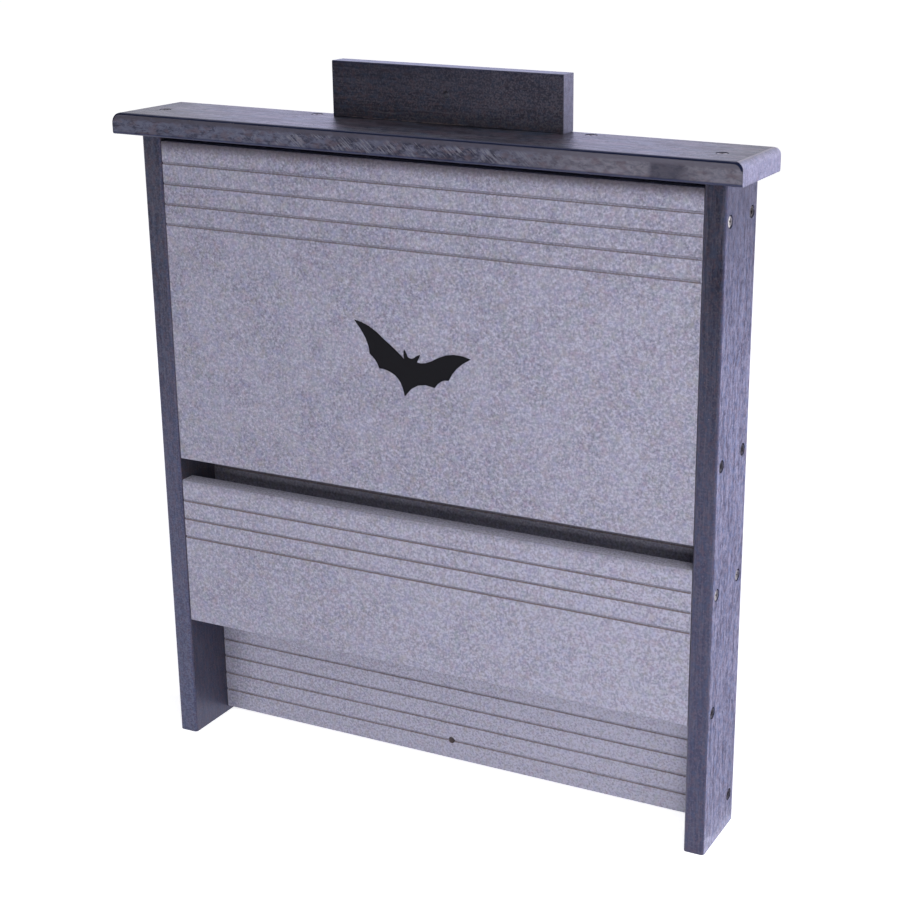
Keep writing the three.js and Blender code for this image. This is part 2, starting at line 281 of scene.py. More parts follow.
# The countersinks, which are darkened with painted shade, and the screws with a painted glint of bright
# steel on their front halves, with how strong
COUNTERSINK = 5.5 * MM
COUNTERSINK_RIM = 0.5 * MM
SIDE_HOLE_SHARE = 0.8
HOLE_FLOOR_SHARE = 0.25
GLINTING_SCREWS = {"right_front_screw_4": 1.0, "right_front_screw_2": 0.8, "right_back_screw_2": 0.7}
PLAIN_GLINT = 0.1
GLINT_BLEND = 1 * MM
GLINT_DULLNESS = 0.4
RING_SCALE = 5200
SPOT_SCALE = 620
STEEL_ROUGHNESS = {"low": 0.3, "high": 0.7, "start": 0.24, "end": 0.46}
STEEL_BUMP = 0.03 * MM

# How each panel differs. Its lightness is a shift of its pebbles, and so are those further down; these
# shifts are painted light and shade, lighter where more light falls.
PANEL_LOOKS = {
    "upper_front_panel": {"lightness": 0.005, "groove_shade": 0.44, "under_roof": True},
    "lower_front_panel": {"lightness": 0.057, "groove_shade": 0.57, "has_painted_light_top": True},
    "back_panel": {"lightness": -0.09, "groove_shade": 0.47, "is_landing": True},
}
PEBBLE_SCALE = 470
GRAIN_SCALE = 520
TINT_SCALE = 165
CLOUD_SCALE = 28
WARMTH_SHIFT = (3, 1, 2)
TINT_SHIFT = (7, 5, 4)
PANEL_WEAR = 1.0 * MM
PANEL_WEAR_SHARE = 0.35
PANEL_RAGGED = {"low": 0.3, "high": 0.7, "start": 0.4, "end": 1.6}
PANEL_RELIEF = {"pebbles": 0.8, "grains": 0.4}
PANEL_BUMP = 0.15 * MM
PANEL_ROUGHNESS = {"low": 0.3, "high": 0.7, "start": 0.46, "end": 0.60}
PANEL_SPECULAR = 0.50
LIGHTER_RIGHT = 0.035
DARKER_TOP = 0.030
DARKER_TOP_START = 420 * MM
DARKER_TOP_END = 560 * MM
LANDING_LIGHTNESS = 0.05
LANDING_START = 180 * MM
LANDING_FULL = 130 * MM
VENT_LIGHTNESS = 0.15
# Painted shade on the back panel from the vent upwards
VENT_SHADE_START = 248 * MM
VENT_SHADE_FULL = 268 * MM
VENT_SHADE_SHARES = (0.42, 0.02)

# The panels' cuts, which lie inside a margin from their edges and are darkened with painted shade, the
# painted shade under the eave, and the painted light on a top edge
CUT_MARGIN = 1.1 * MM
CUT_MARGIN_BLEND = 0.2 * MM
CUT_FLOOR = 0.8 * MM
CUT_FLOOR_BLEND = 0.2 * MM
CUT_FLOOR_SHARE = 0.9
CUT_WALL_SHARE = 1.2
SEAM_WIDTH = 0.8 * MM
SEAM_SHARE = 0.6
EAVE_BAND = 14.5 * MM
EAVE_POWER = 1.6
EAVE_SHARE = 0.85
TOP_SHADE_DROP = 8 * MM
TOP_SHADE_SHARE = 0.30
LIT_TOP_DEPTH = (0.30, 1.0)
LIT_TOP_LENGTH = (0.85, 1.0)
LIT_TOP_DROP = 1 * MM
LIT_TOP_FULL_DROP = 0.5 * MM
LIT_TOP_PEBBLES = {"low": 0.38, "high": 0.62, "start": 0.45, "end": 1.0}

# The emblem's film
FILM_GRAIN_SCALE = 700
FILM_DUST_SCALE = 2400
FILM_ROUGHNESS = {"low": 0.3, "high": 0.7, "start": 0.50, "end": 0.62}
FILM_BUMP = 0.03 * MM
FILM_SPECULAR = 0.06

# The studio
WORLD_LIGHT = (0.90, 0.92, 1.0)
WORLD_STRENGTH = 0.04
FLOOR_SIZE = 30
FLOOR_COLOUR = (0.84, 0.84, 0.87)
FLOOR_GLOW_NEAR = 0.82
FLOOR_GLOW_FAR = 1.0
FLOOR_NEAR = 0.5
FLOOR_FAR = 1.6
DIM_SIDE_PLACE = -1.1
DIM_SIDE_WIDTH = 9
DIM_SIDE_HEIGHT = 4
DIM_SIDE_COLOUR = (0.05, 0.05, 0.06)
DIM_FLOOR_LEFT = 0.28
DIM_FLOOR_SIZE = 4
DIM_FLOOR_RISE = 0.002
DIM_FLOOR_COLOUR = (0.30, 0.30, 0.36)

# The lamps are square, with sizes in metres and powers in watts. Each faces its target.
BOX_MIDDLE = (0, 0, 0.3)
BOX_FOOT = (0, 0, 0.1)
WHITE = (1, 1, 1)
SIDE_LIGHT = (0.86, 0.88, 1.0)
RIM_LIGHT = (0.42, 0.40, 1.0)
LAMPS = {
    "key_lamp": {"place": (1.7, -2.0, 2.0), "target": BOX_MIDDLE, "size": 2.0, "power": 31},
    "low_right_lamp": {"place": (0.9, -1.8, 0.2), "target": BOX_FOOT, "size": 1.0, "power": 16.5},
    "low_left_lamp": {"place": (-0.9, -1.8, 0.2), "target": BOX_FOOT, "size": 1.0, "power": 16},
    "side_lamp": {
        "place": (2.4, 0.2, 0.6), "target": BOX_MIDDLE, "size": 1.4, "power": 67,
        "colour": SIDE_LIGHT,
    },
    "left_rim_lamp": {
        "place": (-1.0, 1.9, 1.3), "target": BOX_MIDDLE, "size": 1.1, "power": 3.2,
        "colour": RIM_LIGHT, "mirrored": True,
    },
}


class Graph:
    """A material's node tree, with one short method for each kind of node that the finishes use."""

    def __init__(self, name):
        self.material = bpy.data.materials.new(name)
        self.material.use_nodes = True
        self.tree = self.material.node_tree
        self.shader = self.tree.nodes["Principled BSDF"]

    def feed(self, socket, value):
        """Links a socket to another, or sets it to a number or colour."""
        if isinstance(value, bpy.types.NodeSocket):
            self.tree.links.new(value, socket)
        elif socket.type == "RGBA":
            socket.default_value = (*value, 1)
        else:
            socket.default_value = value

    def node(self, kind, inputs, **settings):
        made = self.tree.nodes.new(kind)
        for name, value in settings.items():
            setattr(made, name, value)
        for key, value in inputs.items():
            self.feed(made.inputs[key], value)
        return made

    def set(self, **inputs):
        """Sets the shader's own sockets, with _ for each space in their names."""
        for name, value in inputs.items():
            self.feed(self.shader.inputs[name.replace("_", " ")], value)

    def place(self):
        """A point's place in metres, in the frame of the whole box."""
        return self.node("ShaderNodeTexCoord", {}).outputs["Object"]

    def facing(self):
        """The surface's direction, as three parts."""
        normal = self.node("ShaderNodeNewGeometry", {}).outputs["True Normal"]
        return self.parts(normal)

    def parts(self, vector):
        return self.node("ShaderNodeSeparateXYZ", {0: vector}).outputs

    def vector(self, x, y, z):
        return self.node("ShaderNodeCombineXYZ", {0: x, 1: y, 2: z}).outputs[0]

    def math(self, operation, a, b=0.0, clamp=False):
        inputs = {0: a, 1: b}
        return self.node("ShaderNodeMath", inputs, operation=operation, use_clamp=clamp).outputs[0]

    def times(self, first, *others):
        product = first
        for value in others:
            product = self.math("MULTIPLY", product, value)
        return product

    def plus(self, first, *others):
        total = first
        for value in others:
            total = self.math("ADD", total, value)
        return total

    def gap(self, a, b):
        """How far two numbers are apart."""
        return self.math("ABSOLUTE", self.math("SUBTRACT", a, b))

    def distance(self, a, b=(0, 0, 0)):
        inputs = {0: a, 1: b}
        return self.node("ShaderNodeVectorMath", inputs, operation="DISTANCE").outputs["Value"]

    def stretched(self, place, scale, turn=(0, 0, 0), shift=(0, 0, 0)):
        """The place turned, then scaled along each axis, so that a noise on it is drawn out another way."""
        turned = self.node("ShaderNodeMapping", {"Vector": place, "Rotation": turn}).outputs[0]
        inputs = {"Vector": turned, "Location": shift, "Scale": scale}
        return self.node("ShaderNodeMapping", inputs).outputs[0]

    def noise(self, place, scale=1.0, detail=2.0, roughness=0.5, distortion=0.0):
        inputs = {"Vector": place, "Scale": scale, "Detail": detail}
        inputs.update({"Roughness": roughness, "Distortion": distortion})
        return self.node("ShaderNodeTexNoise", inputs).outputs[0]

    def drawn_noise(self, place, scale, turn=(0, 0, 0), shift=(0, 0, 0), **settings):
        """A noise that is finer along the axes with the larger scales."""
        return self.noise(self.stretched(place, scale, turn, shift), **settings)

    def cells(self, place, scale):
        """The distance to the middle of the nearest Voronoi cell."""
        return self.node("ShaderNodeTexVoronoi", {"Vector": place, "Scale": scale}).outputs[0]

    def step(self, value, low, high, start=0.0, end=1.0):
        """A smooth rise from start to end as the value goes from low to high."""
        inputs = {"Value": value, "From Min": low, "From Max": high, "To Min": start, "To Max": end}
        return self.node("ShaderNodeMapRange", inputs, interpolation_type="SMOOTHSTEP").outputs[0]

    def mix(self, share, a, b):
        """Goes from colour a to colour b as the share goes from 0 to 1."""
        made = self.node("ShaderNodeMix", {}, data_type="RGBA")
        self.feed(made.inputs[0], share)
        self.feed(made.inputs[6], a)
        self.feed(made.inputs[7], b)
        return made.outputs[2]

    def layered(self, noises, colour, layers, strength=1.0, brightness=1.0):
        """Lays the tints of a table of layers over a colour, all weaker or brighter by the same factor."""
        for noise, low, high, share, tint in layers:
            shown = self.step(noises[noise], low, high, 0, share * strength)
            colour = self.mix(shown, colour, scaled(tint, brightness))
        return colour

    def summed(self, noises, shares):
        """The sum of some of the noises, each times its share."""
        parts = [self.times(noises[name], share) for name, share in shares.items()]
        return self.plus(*parts)

    def bump(self, height, distance):
        return self.node("ShaderNodeBump", {"Height": height, "Distance": distance}).outputs[0]

    def edge_share(self, place, box, width, ragged):
        """1 on the edges of a box, and 0 further from them than the width times the ragged number."""
        low, high = box
        centre = (low + high) / 2
        half = (high - low) / 2
        depths = []
        for axis, value in enumerate(self.parts(place)):
            depths.append(self.math("SUBTRACT", half[axis], self.gap(value, centre[axis])))
        nearer = self.math("MINIMUM", depths[0], depths[1])
        further = self.math("MAXIMUM", depths[0], depths[1])
        second = self.math("MAXIMUM", nearer, self.math("MINIMUM", further, depths[2]))
        reach = self.times(ragged, width)
        return self.math("SUBTRACT", 1.0, self.step(second, 0.0, reach), clamp=True)


class Grain:
    """The noises of a board, drawn out along its length, each made when it is first used."""

    def __init__(self, graph, place, along, shift):
        self.graph = graph
        self.place = place
        self.along = along
        self.shift = shift
        self.made = {"grit": graph.noise(place, GRIT_SCALE, detail=2, roughness=0.6)}

    def __getitem__(self, name):
        if name not in self.made:
            across, length, offset, detail, roughness = BOARD_NOISES[name]
            scale = tuple(length if axis == self.along else across for axis in "xyz")
            shift = tuple(part + offset for part in self.shift)
            drawn_out = self.graph.stretched(self.place, scale, shift=shift)
            self.made[name] = self.graph.noise(drawn_out, detail=detail, roughness=roughness)
        return self.made[name]


def scaled(colour, factor):
    return tuple(part * factor for part in colour)


def ahead(graph, facing):
    """How squarely a surface looks forward."""
    return graph.times(facing[1], -1.0)


def pale_colour(graph, grain, paleness, mottling):
    """The pale lavender of the outer faces and sawn ends, mottled to the share given: a painted glare on
    the outer faces, and on the ends partly the lighter cut and partly painted glare.
    """
    dark, light = scaled(PALE_DARK, paleness), scaled(PALE_LIGHT, paleness)
    middle = tuple((a + b) / 2 for a, b in zip(dark, light))
    colour = graph.mix(graph.step(grain["wide"], *PALE_STREAKS), dark, light)
    colour = graph.mix(1 - mottling, colour, middle)
    return graph.layered(grain, colour, PALE_LAYERS, strength=mottling, brightness=paleness)


def side_front(graph, grain, place, facing, outward, colour):
    """Painted shade up the right side board, darker towards its top, or a painted bluish sheen low on the
    left one's front.
    """
    height = graph.parts(place)[2]
    if outward > 0:
        top_shade = graph.step(height, RIGHT_SHADE_BOTTOM, UNDER_ROOF_SHADE_TOP, *RIGHT_SHADE_SHARES)
        return graph.mix(top_shade, colour, CHARCOAL_PAINTED_SHADE)
    # A painted bluish sheen low on the left board's front
    front = graph.step(ahead(graph, facing), *SIDE_FRONT)
    sheen = graph.times(graph.step(height, SHEEN_HEIGHT, 0, *SHEEN_SHARES), front)
    sheen = graph.times(sheen, graph.step(grain["grit"], **SHEEN_GRIT))
    return graph.mix(sheen, colour, CHARCOAL_PAINTED_SHEEN)


def roof_top(graph, grain, facing, colour):
    """Short pale, pinkish and bluish streaks on the face that looks up."""
    top = graph.layered(grain, TOP_DARK, TOP_LAYERS)
    return graph.mix(graph.step(facing[2], *UPWARD), colour, top)


def roof_front(graph, place, facing, box, colour):
    """What the saw left on the face that looks forward, a painted sheen at its left, and navy lines of
    painted dark reflection along its top and of painted shade along its foot.
    """
    x, y, z = graph.parts(place)
    noises = {name: graph.drawn_noise(place, **settings) for name, settings in SAWN_NOISES.items()}
    dapple = noises["dapple"]
    dusty = graph.step(x, DUST_START, DUST_END)
    smudge_left = graph.step(x, SMUDGE_LEFT - SMUDGE_BLEND, SMUDGE_LEFT)
    smudge_right = graph.step(x, SMUDGE_RIGHT + SMUDGE_FADE, SMUDGE_RIGHT)
    # A painted sheen towards the left
    sheen = graph.step(x, SAWN_SHEEN_START, SAWN_SHEEN_FULL)
    sheen = graph.times(sheen, graph.step(dapple, **SAWN_SHEEN_DAPPLE))
    stretch = graph.step(x, STROKES_START, STROKES_FULL)
    stretch = graph.times(stretch, graph.step(x, STROKES_END, STROKES_FADE))
    strokes = graph.step(noises["strokes"], *STROKE_LEVELS)
    strokes = graph.times(strokes, graph.step(noises["loose"], **STROKE_CLUSTERS), stretch)

    sawn = graph.layered(noises, SAWN_DARK, SAWN_LAYERS)
    sawn = graph.mix(graph.times(dusty, graph.step(dapple, **DUST_DAPPLE)), sawn, SAWN_DUST)
    sawn = graph.mix(sheen, sawn, SAWN_PAINTED_SHEEN)
    sawn = graph.mix(strokes, sawn, SAWN_STROKE)
    sawn = graph.layered(noises, sawn, SAWN_CAST_LAYERS)
    sawn = graph.mix(graph.times(smudge_left, smudge_right, SMUDGE_SHARE), sawn, SAWN_DARK)
    band = graph.layered(noises, SAWN_BROWN, SAWN_BAND_LAYERS)
    band = graph.mix(graph.times(dusty, BAND_DUST_SHARE), band, SAWN_DUST)
    sawn = graph.mix(graph.step(z, BAND_BOTTOM + BAND_BLEND, BAND_BOTTOM - BAND_BLEND), band, sawn)
    colour = graph.mix(graph.step(ahead(graph, facing), *SAWN_FRONT), colour, sawn)

    # The lip along the foot is a painted shade, and the brow along the top edge and round both ends is a
    # painted dark reflection
    lip = graph.times(graph.step(z, LIP_TOP, LIP_BOTTOM), LIP_SHARE)
    brow = brow_share(graph, (x, y, z), box)
    return graph.mix(graph.math("MAXIMUM", brow, lip), colour, CHARCOAL_NAVY)


def brow_share(graph, spot, box):
    """1 along the front's top edge and round its two ends, and 0 elsewhere."""
    low, high = box
    x, y, z = spot
    middle = (low.x + high.x) / 2
    half = (high.x - low.x) / 2
    beside = graph.math("SUBTRACT", graph.gap(x, middle), half - BROW_ROUND)
    above = graph.math("SUBTRACT", z, high.z - BROW_ROUND)
    corner = graph.vector(graph.math("MAXIMUM", beside, 0.0), 0.0, graph.math("MAXIMUM", above, 0.0))
    inner = BROW_ROUND - BROW_WIDTH
    rim = graph.step(graph.distance(corner), inner, inner + BROW_BLEND)
    return graph.times(rim, graph.step(above, 0.0, BROW_RISE), graph.step(y, BROW_BACK, BROW_FRONT))


def hanger_top(graph, facing, colour):
    """A painted reflection: an even blue where the sky shows in the face that looks up."""
    return graph.mix(graph.step(facing[2], *UPWARD), colour, TOP_SKY)


def hanger_front(graph, grit, place, facing, box, colour):
    """Dark edges, painted shade towards the top and dust on the face that looks forward, and a painted
    highlight along its foot.
    """
    low, high = box
    x, _, z = graph.parts(place)
    front = graph.step(ahead(graph, facing), *HANGER_FRONT)
    near_top = graph.step(z, high.z - HANGER_EDGE - HANGER_EDGE_BLEND, high.z - HANGER_EDGE)
    near_left = graph.step(x, low.x + HANGER_EDGE, low.x + HANGER_EDGE - HANGER_EDGE_BLEND)
    edge = graph.times(graph.math("MAXIMUM", near_top, near_left), front)
    colour = graph.mix(graph.times(edge, HANGER_EDGE_SHARE), colour, CHARCOAL_NAVY)

    top_shade = graph.times(graph.step(z, low.z, high.z, 0, HANGER_TOP_SHADE_SHARE), front)
    colour = graph.mix(top_shade, colour, CHARCOAL_PAINTED_SHADE)
    dusty = graph.step(x, low.x, high.x, *HANGER_DUST_SHARES)
    dusty = graph.times(dusty, graph.step(grit, **HANGER_DUST_GRIT), front)
    colour = graph.mix(dusty, colour, CHARCOAL_WEAR)

    # A painted highlight along the foot, where the eased edge catches light
    bits = graph.drawn_noise(place, FOOT_HIGHLIGHT_SCALE, detail=3, roughness=0.7)
    foot_highlight = graph.times(graph.step(z, FOOT_HIGHLIGHT_TOP + FOOT_HIGHLIGHT_FADE, FOOT_HIGHLIGHT_TOP), graph.step(bits, *FOOT_HIGHLIGHT_BITS))
    foot_highlight = graph.times(foot_highlight, graph.step(x, FOOT_HIGHLIGHT_LEFT - FOOT_HIGHLIGHT_END_FADE, FOOT_HIGHLIGHT_LEFT))
    foot_highlight = graph.times(foot_highlight, graph.step(x, FOOT_HIGHLIGHT_RIGHT + FOOT_HIGHLIGHT_END_FADE, FOOT_HIGHLIGHT_RIGHT))
    return graph.mix(graph.times(foot_highlight, FOOT_HIGHLIGHT_SHARE), colour, CREAM)


def hole_share(graph, place, facing, screws, axis):
    """1 on the walls of the countersinks about the screws, which go in along an axis, and 0 elsewhere."""
    flat = tuple(0 if part == axis else 1 for part in "xyz")
    level = graph.stretched(place, flat)
    nearest = 1.0
    for screw in screws:
        low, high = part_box(screw)
        centre = (low + high) / 2
        spot = tuple(part * keep for part, keep in zip(centre, flat))
        nearest = graph.math("MINIMUM", nearest, graph.distance(level, spot))
    inside = graph.step(nearest, COUNTERSINK + COUNTERSINK_RIM, COUNTERSINK)
    out = graph.math("ABSOLUTE", facing["xyz".index(axis)])
    walls = graph.times(inside, graph.step(out, *HOLE_WALL))
    if axis == "x":
        upright = graph.math("ABSOLUTE", facing[2])
        walls = graph.times(walls, graph.step(upright, *HOLE_SIDE_WALL, HOLE_FLOOR_SHARE, 1))
    return walls


def side_holes(graph, place, facing, outward, colour):
    """Darkens the countersinks in a side board with painted shade."""
    side = "right" if outward > 0 else "left"
    rows = (f"{side}_front_screw", f"{side}_back_screw")
    screws = [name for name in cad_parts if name.startswith(rows)]
    holes = hole_share(graph, place, facing, screws, "x")
    return graph.mix(graph.times(holes, SIDE_HOLE_SHARE), colour, CHARCOAL_PAINTED_SHADE)


def roof_holes(graph, place, facing, colour):
    """Darkens the countersinks in the roof with painted shade."""
    screws = [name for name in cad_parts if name.startswith("roof_") and "_screw_" in name]
    return graph.mix(hole_share(graph, place, facing, screws, "z"), colour, CHARCOAL_PAINTED_SHADE)


def end_share(graph, place, facing, box, outward, pale_slopes):
    """1 on a board's sawn ends, or on the outer face that the sign outward gives, and 0 elsewhere."""
    if outward:
        return graph.step(graph.times(facing[0], outward), *pale_slopes)
    low, high = box
    away = graph.gap(graph.parts(place)[0], (low.x + high.x) / 2)
    half = (high.x - low.x) / 2
    near_end = graph.step(away, half - PALE_REACH - PALE_REACH_BLEND, half - PALE_REACH)
    return graph.times(near_end, graph.step(graph.math("ABSOLUTE", facing[0]), *pale_slopes))


def rim_share(graph, facing):
    """1 on the first of the slopes that turn down from the roof's top to its ends, and 0 elsewhere."""
    sideways = graph.math("ABSOLUTE", facing[0])
    return graph.times(graph.step(sideways, *RIM_START), graph.step(sideways, *RIM_END))


def board_height(graph, grain, facing, is_roof):
    """The height of a board's fine relief, which is rougher on the roof's top."""
    height = graph.summed(grain, BOARD_RELIEF)
    if is_roof:
        rough_top = graph.summed(grain, ROOF_TOP_RELIEF)
        height = graph.plus(height, graph.times(graph.step(facing[2], *UPWARD), rough_top))
    return height


def flecked(graph, grain, place, colour):
    """Small tan flecks in patches."""
    flecks = graph.step(graph.cells(place, FLECK_SCALE), *FLECK_SIZE)
    flecks = graph.times(flecks, graph.step(grain["broad"], *FLECK_PLACES))
    return graph.mix(graph.times(flecks, FLECK_SHARE), colour, CHARCOAL_FLECK)


def board_finish(node, along, paleness, pale_slopes, outward=0, is_roof=False, is_hanger=False):
    """Charcoal recycled plastic with fine streaks along the board, a bluish gloss, and pale outer faces and
    ends: painted glare, and on the ends partly the lighter cut.
    """
    graph = Graph(f"{node}_finish")
    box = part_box(node)
    place = graph.place()
    facing = graph.facing()
    corner = box[0]
    grain = Grain(graph, place, along, tuple(corner * BOARD_SHIFT))

    colour = graph.layered(grain, CHARCOAL, CHARCOAL_LAYERS)
    pale = pale_colour(graph, grain, paleness, SIDE_MOTTLING if outward else END_MOTTLING)
    if outward:
        colour = side_front(graph, grain, place, facing, outward, colour)
        # Painted shade on the outer faces, darker towards the roof
        under_roof_shade = graph.step(graph.parts(place)[2], UNDER_ROOF_SHADE_BOTTOM, UNDER_ROOF_SHADE_TOP, 0, UNDER_ROOF_SHADE_SHARE)
        pale = graph.mix(under_roof_shade, pale, PALE_SHADE)
    if is_hanger:
        colour = hanger_top(graph, facing, colour)
        colour = hanger_front(graph, grain["grit"], place, facing, box, colour)
    if is_roof:
        colour = roof_top(graph, grain, facing, colour)
        colour = roof_front(graph, place, facing, box, colour)
        # A painted highlight on the first slope down from the roof's top to its ends
        pale = graph.mix(graph.times(rim_share(graph, facing), RIM_HIGHLIGHT_SHARE), pale, RIM_HIGHLIGHT)
    # The pale colour is a painted glare on the outer faces, and on the sawn ends partly the lighter cut and
    # partly painted glare
    colour = graph.mix(end_share(graph, place, facing, box, outward, pale_slopes), colour, pale)

    colour = flecked(graph, grain, place, colour)
    edge = graph.edge_share(place, box, BOARD_WEAR, graph.step(grain["streaks"], **BOARD_RAGGED))
    colour = graph.mix(graph.times(edge, BOARD_WEAR_SHARE), colour, CHARCOAL_WEAR)
    if outward:
        colour = side_holes(graph, place, facing, outward, colour)
    if is_roof:
        colour = roof_holes(graph, place, facing, colour)
    graph.set(
        Base_Color=colour,
        Roughness=graph.step(grain["streaks"], **BOARD_ROUGHNESS),
        Normal=graph.bump(board_height(graph, grain, facing, is_roof), BOARD_BUMP),
        Specular_IOR_Level=ROOF_SPECULAR if is_roof else BOARD_SPECULAR,
        Specular_Tint=CHARCOAL_GLOSS,
    )
    return graph.material


def grooved(graph, place, facing, box, shade_strength, colour):
    """Darkens the grooves and holes in a panel's front with painted shade, browner on their lower walls,
    where the cut is brown, and paints a line of shade along the seam at its left edge.
    """
    low, high = box
    x, y, z = graph.parts(place)
    inside = 1.0
    for value, start, end in ((x, low.x, high.x), (z, low.z, high.z)):
        start, end = start + CUT_MARGIN, end - CUT_MARGIN
        inside = graph.times(inside, graph.step(value, start - CUT_MARGIN_BLEND, start))
        inside = graph.times(inside, graph.step(value, end + CUT_MARGIN_BLEND, end))
    depth = graph.math("SUBTRACT", y, low.y)
    floor = graph.times(inside, graph.step(depth, CUT_FLOOR - CUT_FLOOR_BLEND, CUT_FLOOR))
    colour = graph.mix(graph.times(floor, CUT_FLOOR_SHARE * shade_strength), colour, PANEL_CUT_SHADE)
    wall = graph.times(inside, graph.step(graph.math("ABSOLUTE", facing[1]), *CUT_WALL))
    shade = graph.mix(graph.step(facing[2], *CUT_LOWER_WALL), PANEL_CUT_SHADE, PANEL_CUT_WARM)
    colour = graph.mix(graph.times(wall, CUT_WALL_SHARE * shade_strength), colour, shade)
    seam = graph.times(graph.step(x, low.x + SEAM_WIDTH, low.x), SEAM_SHARE)
    return graph.mix(seam, colour, PANEL_SEAM)


def eave_shadow(graph, place, facing, top, colour):
    """A brown painted shade along a panel's top, under the roof's overhang."""
    drop = graph.math("SUBTRACT", top, graph.parts(place)[2])
    fade = graph.math("POWER", graph.step(drop, EAVE_BAND, 0.0), EAVE_POWER)
    fade = graph.times(fade, graph.step(facing[2], *EAVE_UPRIGHT, 0, EAVE_SHARE))
    return graph.mix(fade, colour, PANEL_PAINTED_SHADE)


def painted_light_top(graph, place, facing, box, pebbles, colour):
    """Painted light on a panel's top as pale flecks, stronger towards its front and right, and a faint
    painted shade below the edge.
    """
    low, high = box
    x, y, z = graph.parts(place)
    shade = graph.step(z, high.z - TOP_SHADE_DROP, high.z, 0, TOP_SHADE_SHARE)
    colour = graph.mix(graph.times(shade, graph.step(facing[2], *NOT_LEVEL)), colour, PANEL_CUT_SHADE)
    top = graph.step(z, high.z - LIT_TOP_DROP, high.z - LIT_TOP_FULL_DROP)
    level = graph.times(graph.step(facing[2], *LEVEL), top)
    lit_share = graph.step(y, high.y, low.y, *LIT_TOP_DEPTH)
    lit_share = graph.times(lit_share, graph.step(x, low.x, high.x, *LIT_TOP_LENGTH))
    flecked = graph.times(lit_share, graph.step(pebbles, **LIT_TOP_PEBBLES))
    return graph.mix(graph.times(level, flecked), colour, PANEL_TOP_LIGHT)


def landing_lightness(graph, height, facing):
    """How much lighter the back panel's inner face is painted below the vent, and lower down on the
    landing, as painted light.
    """
    lighter = graph.step(height, LANDING_START, LANDING_FULL, 0, LANDING_LIGHTNESS)
    lighter = graph.plus(lighter, VENT_LIGHTNESS)
    darker = graph.step(height, VENT_SHADE_START, VENT_SHADE_FULL, 0, VENT_LIGHTNESS)
    inner = graph.step(facing[1], *NOT_BACK)
    return graph.times(graph.math("SUBTRACT", lighter, darker), inner)


def vent_shade(graph, place, facing, box, colour):
    """Painted shade on the back panel's inner face from the vent upwards, fainter towards its right end."""
    low, high = box
    x, _, z = graph.parts(place)
    shade_strength = graph.step(z, VENT_SHADE_START, VENT_SHADE_FULL)
    shade_strength = graph.times(shade_strength, graph.step(x, low.x, high.x, *VENT_SHADE_SHARES))
    inner = graph.step(facing[1], *NOT_BACK)
    return graph.mix(graph.times(shade_strength, inner), colour, PANEL_PAINTED_SHADE)


def panel_noises(graph, place, shift):
    """The noises of a panel, where the tone is its pebbles shifted to be lighter or darker."""
    pebbles = graph.noise(place, PEBBLE_SCALE, detail=2, roughness=0.65)
    warmth_place = graph.stretched(place, (1, 1, 1), shift=WARMTH_SHIFT)
    tint_place = graph.stretched(place, (1, 1, 1), shift=TINT_SHIFT)
    return {
        "pebbles": pebbles,
        "tone": graph.plus(pebbles, shift),
        "warmth": graph.noise(warmth_place, TINT_SCALE, detail=3, roughness=0.55),
        "tints": graph.noise(tint_place, TINT_SCALE, detail=3, roughness=0.6),
        "clouds": graph.noise(place, CLOUD_SCALE, detail=2),
        "grains": graph.cells(place, GRAIN_SCALE),
    }


def panel_finish(node, lightness, groove_shade, under_roof=False, has_painted_light_top=False, is_landing=False):
    """Light grey recycled plastic with a pebbled speckle, and faint casts of pink, green, blue and tan."""
    graph = Graph(f"{node}_finish")
    box = low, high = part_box(node)
    place = graph.place()
    facing = graph.facing()
    x, _, z = graph.parts(place)
    # Painted light and shade: lighter towards the right, darker towards the top
    across = graph.step(x, low.x, high.x, -LIGHTER_RIGHT, LIGHTER_RIGHT)
    upwards = graph.step(z, DARKER_TOP_START, DARKER_TOP_END, 0, -DARKER_TOP)
    shift = graph.plus(lightness, graph.plus(across, upwards))
    if is_landing:
        shift = graph.plus(shift, landing_lightness(graph, z, facing))

    noises = panel_noises(graph, place, shift)
    pebbles = noises["pebbles"]
    colour = graph.layered(noises, PANEL_BASE, PANEL_LAYERS)
    edge = graph.edge_share(place, box, PANEL_WEAR, graph.step(pebbles, **PANEL_RAGGED))
    colour = graph.mix(graph.times(edge, PANEL_WEAR_SHARE), colour, PANEL_LIGHT)
    colour = grooved(graph, place, facing, box, groove_shade, colour)
    if under_roof:
        colour = eave_shadow(graph, place, facing, high.z, colour)
    if has_painted_light_top:
        colour = painted_light_top(graph, place, facing, box, pebbles, colour)
    if is_landing:
        colour = vent_shade(graph, place, facing, box, colour)
    graph.set(
        Base_Color=colour,
        Roughness=graph.step(pebbles, **PANEL_ROUGHNESS),
        Normal=graph.bump(graph.summed(noises, PANEL_RELIEF), PANEL_BUMP),
        Specular_IOR_Level=PANEL_SPECULAR,
        Specular_Tint=PANEL_GLOSS,
    )
    return graph.material


def film_finish(name):
    """Thin black film with a faint grain and a little dust."""
    graph = Graph(name)
    place = graph.place()
    grain = graph.noise(place, FILM_GRAIN_SCALE, detail=2)
    dust = graph.noise(place, FILM_DUST_SCALE, detail=1)
    graph.set(
        Base_Color=graph.layered({"dust": dust}, FILM_BLACK, FILM_LAYERS),
        Roughness=graph.step(grain, **FILM_ROUGHNESS),
        Normal=graph.bump(grain, FILM_BUMP),
        Specular_IOR_Level=FILM_SPECULAR,
    )
    return graph.material


